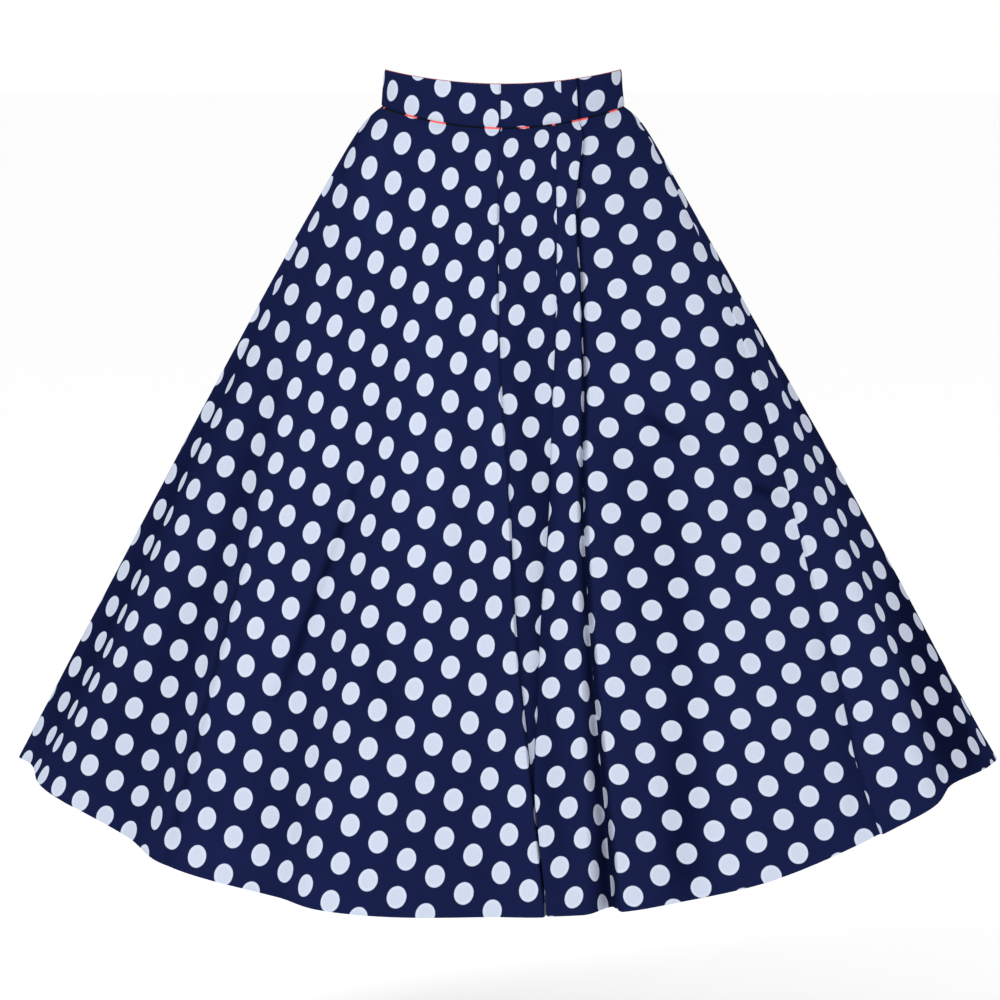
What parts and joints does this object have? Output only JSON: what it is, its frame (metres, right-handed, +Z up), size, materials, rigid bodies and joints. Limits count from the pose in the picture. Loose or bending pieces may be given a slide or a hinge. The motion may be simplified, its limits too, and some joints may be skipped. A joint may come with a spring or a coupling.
{
  "type": "midi skirt",
  "caption": "Flared midi skirt on a narrow waistband, cotton printed with white dots on navy, in the hollow form it has when worn.",
  "frame": {"origin": "middle of the waist ring, half way up the waistband, where the wearer holds the skirt", "axes": "+Z up through the waist opening; the front of the skirt faces -Y; +X is the viewer's right as seen from the front"},
  "size_m": [0.9924, 0.671, 0.8189],
  "materials": {
    "skirt_cotton": "woven cotton, navy with white dots, soft sheen",
    "band_cotton": "doubled woven cotton, navy with white dots",
    "thread": "dark navy sewing thread"
  },
  "bodies": {
    "root": {"waistband_front_left": "band_cotton", "waistband_front_right": "band_cotton", "waistband_back_left": "band_cotton", "waistband_back_right": "band_cotton", "skirt_front_left": "skirt_cotton", "skirt_front_right": "skirt_cotton", "skirt_back_left": "skirt_cotton", "skirt_back_right": "skirt_cotton"}
  },
  "joints": []
}
